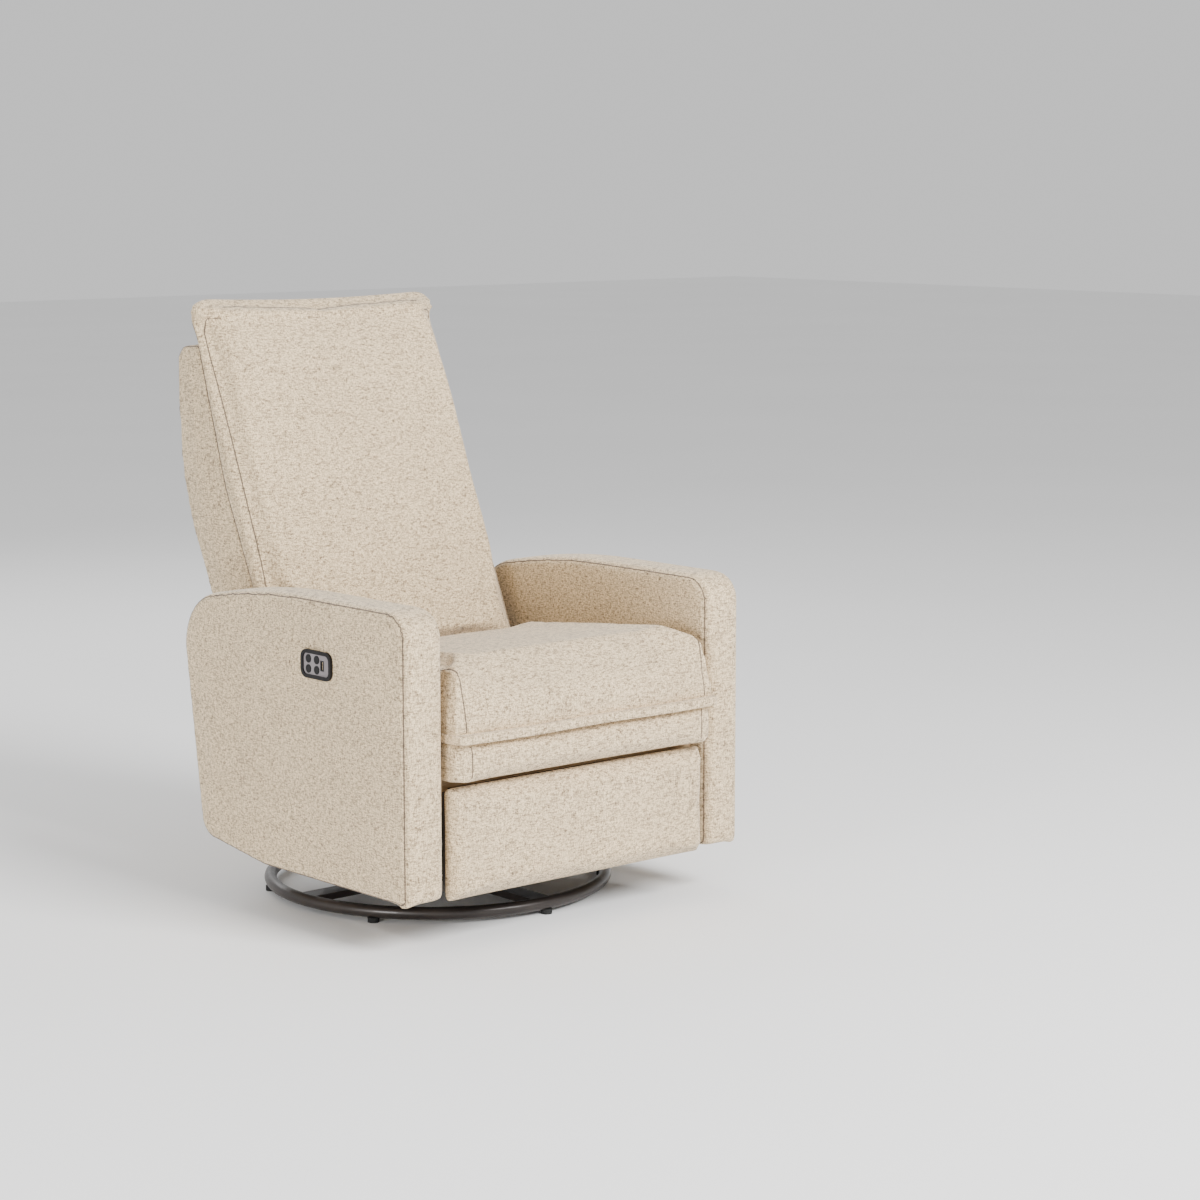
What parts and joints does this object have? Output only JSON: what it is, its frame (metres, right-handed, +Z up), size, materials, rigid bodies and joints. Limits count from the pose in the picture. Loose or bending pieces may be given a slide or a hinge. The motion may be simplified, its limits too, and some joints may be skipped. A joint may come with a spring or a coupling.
{
  "type": "glider nursery chair",
  "caption": "Upholstered nursery chair that swivels and glides on a round metal base, with a reclining back, fold-out footrest and push-button arm controls.",
  "frame": {"origin": "on the floor under the swivel axis, at the middle of the overall box", "axes": "+Z up, front of the seat towards -Y, +X to the sitter's left"},
  "size_m": [0.751, 0.842, 1.043],
  "materials": {
    "upholstery": "heathered tweed weave",
    "frame_wood": "sawn",
    "frame_metal": "satin powder coat",
    "base_metal": "satin dark bronze",
    "steel": "zinc plated",
    "rubber": "matte",
    "webbing": "woven strap",
    "black_plastic": "fine texture",
    "control_rim": "satin gloss",
    "control_plate": "satin grey",
    "button": "soft touch",
    "actuator_case": "moulded"
  },
  "bodies": {
    "base": {"floor_glides": "rubber", "base_ring": "base_metal", "base_spokes": "base_metal", "hub_plate": "base_metal", "swivel_lower_race": "steel", "bearing_balls": "steel", "swivel_post": "steel"},
    "swivel": {"swivel_upper_race": "steel", "swivel_plate": "frame_metal", "glide_crossbars": "frame_metal", "glide_uprights": "frame_metal", "upper_glide_pins": "steel"},
    "front_links": {"front_glide_links": "frame_metal"},
    "rear_links": {"rear_glide_links": "frame_metal"},
    "seat": {"lower_glide_pins": "steel", "platform_side_plates": "frame_metal", "platform_cross_tubes": "frame_metal", "mechanism_side_plates": "frame_metal", "seat_side_rails": "frame_wood", "recline_pins": "steel", "seat_cross_rails": "frame_wood", "seat_webbing": "webbing", "rear_apron": "upholstery", "power_box": "black_plastic", "power_inlet": "black_plastic", "seat_cushion": "upholstery", "seat_front_roll": "upholstery", "left_arm_cover": "upholstery", "right_arm_cover": "upholstery", "arm_boards": "frame_wood", "control_rim": "control_rim", "control_plate": "control_plate", "control_case": "black_plastic", "usb_socket": "black_plastic", "footrest_fixed_pins": "steel", "footrest_actuator": "actuator_case", "recline_actuator": "actuator_case"},
    "back": {"back_cushion": "upholstery", "outer_back": "upholstery", "back_frame": "frame_wood", "back_webbing": "webbing", "back_brackets": "frame_metal", "back_torque_tube": "frame_metal"},
    "footrest_crank": {"footrest_cranks": "frame_metal", "footrest_drive_tube": "frame_metal", "crank_pins": "steel"},
    "footrest_coupler": {"footrest_couplers": "frame_metal"},
    "footrest_follower": {"footrest_follower_cranks": "frame_metal"},
    "footrest_control": {"footrest_control_bars": "frame_metal"},
    "footrest": {"footrest_brackets": "frame_metal", "footrest_board_pins": "steel", "footrest_board": "webbing", "footrest_cushion": "upholstery"},
    "footrest_rod": {"footrest_actuator_rod": "steel"},
    "recline_rod": {"recline_actuator_rod": "steel"},
    "footrest_up_button": {"footrest_up_button": "button"},
    "footrest_down_button": {"footrest_down_button": "button"},
    "recline_button": {"recline_button": "button"},
    "upright_button": {"upright_button": "button"}
  },
  "joints": [
    {"name": "swivel_turn", "type": "hinge", "parent": "base", "child": "swivel", "pos_m": [0, 0, 0.049], "axis": [0, 0, 1], "continuous": true},
    {"name": "front_link_swing", "type": "hinge", "parent": "swivel", "child": "front_links", "pos_m": [0, -0.115, 0.19], "axis": [-1, 0, 0], "range_deg": [-22, 22]},
    {"name": "glide", "type": "hinge", "parent": "front_links", "child": "seat", "pos_m": [0, -0.115, 0.08], "axis": [-1, 0, 0], "range_deg": [-22, 22]},
    {"name": "rear_link_swing", "type": "hinge", "parent": "swivel", "child": "rear_links", "pos_m": [0, 0.115, 0.19], "axis": [-1, 0, 0], "range_deg": [-22, 22]},
    {"name": "back_recline", "type": "hinge", "parent": "seat", "child": "back", "pos_m": [0, 0.118, 0.285], "axis": [-1, 0, 0], "range_deg": [0, 30]},
    {"name": "footrest_extend", "type": "hinge", "parent": "seat", "child": "footrest_crank", "pos_m": [0, -0.1, 0.262], "axis": [-1, 0, 0], "range_deg": [0, 95]},
    {"name": "coupler_turn", "type": "hinge", "parent": "footrest_crank", "child": "footrest_coupler", "pos_m": [0, -0.00536, 0.12684], "axis": [-1, 0, 0], "range_deg": [-95, 0]},
    {"name": "footrest_tilt", "type": "hinge", "parent": "footrest_coupler", "child": "footrest", "pos_m": [0, -0.332, 0.24], "axis": [-1, 0, 0], "range_deg": [0, 95]},
    {"name": "follower_turn", "type": "hinge", "parent": "seat", "child": "footrest_follower", "pos_m": [0, -0.15553, 0.28124], "axis": [-1, 0, 0], "range_deg": [0, 95]},
    {"name": "control_turn", "type": "hinge", "parent": "footrest_crank", "child": "footrest_control", "pos_m": [0, 0.01964, 0.08684], "axis": [-1, 0, 0], "range_deg": [-95, 0]},
    {"name": "footrest_rod_slide", "type": "slide", "parent": "seat", "child": "footrest_rod", "axis": [0, -1, 0], "range_m": [0, 0.148]},
    {"name": "recline_rod_slide", "type": "slide", "parent": "seat", "child": "recline_rod", "axis": [0, -1, 0], "range_m": [0, 0.056]},
    {"name": "footrest_up_button_press", "type": "slide", "parent": "seat", "child": "footrest_up_button", "axis": [1, 0, 0], "range_m": [0, 0.0015], "stiffness_N_per_m": 800},
    {"name": "footrest_down_button_press", "type": "slide", "parent": "seat", "child": "footrest_down_button", "axis": [1, 0, 0], "range_m": [0, 0.0015], "stiffness_N_per_m": 800},
    {"name": "recline_button_press", "type": "slide", "parent": "seat", "child": "recline_button", "axis": [1, 0, 0], "range_m": [0, 0.0015], "stiffness_N_per_m": 800},
    {"name": "upright_button_press", "type": "slide", "parent": "seat", "child": "upright_button", "axis": [1, 0, 0], "range_m": [0, 0.0015], "stiffness_N_per_m": 800}
  ],
  "couplings": [
    {"joint": "front_link_swing", "follows": "glide", "ratio": -1},
    {"joint": "rear_link_swing", "follows": "glide", "ratio": -1},
    {"joint": "coupler_turn", "follows": "footrest_extend", "ratio": -1},
    {"joint": "footrest_tilt", "follows": "footrest_extend", "ratio": 1},
    {"joint": "follower_turn", "follows": "footrest_extend", "ratio": 1},
    {"joint": "control_turn", "follows": "footrest_extend", "ratio": -1},
    {"joint": "footrest_rod_slide", "follows": "footrest_extend", "m_per_rad": 0.08894},
    {"joint": "recline_rod_slide", "follows": "back_recline", "m_per_rad": 0.10578}
  ]
}
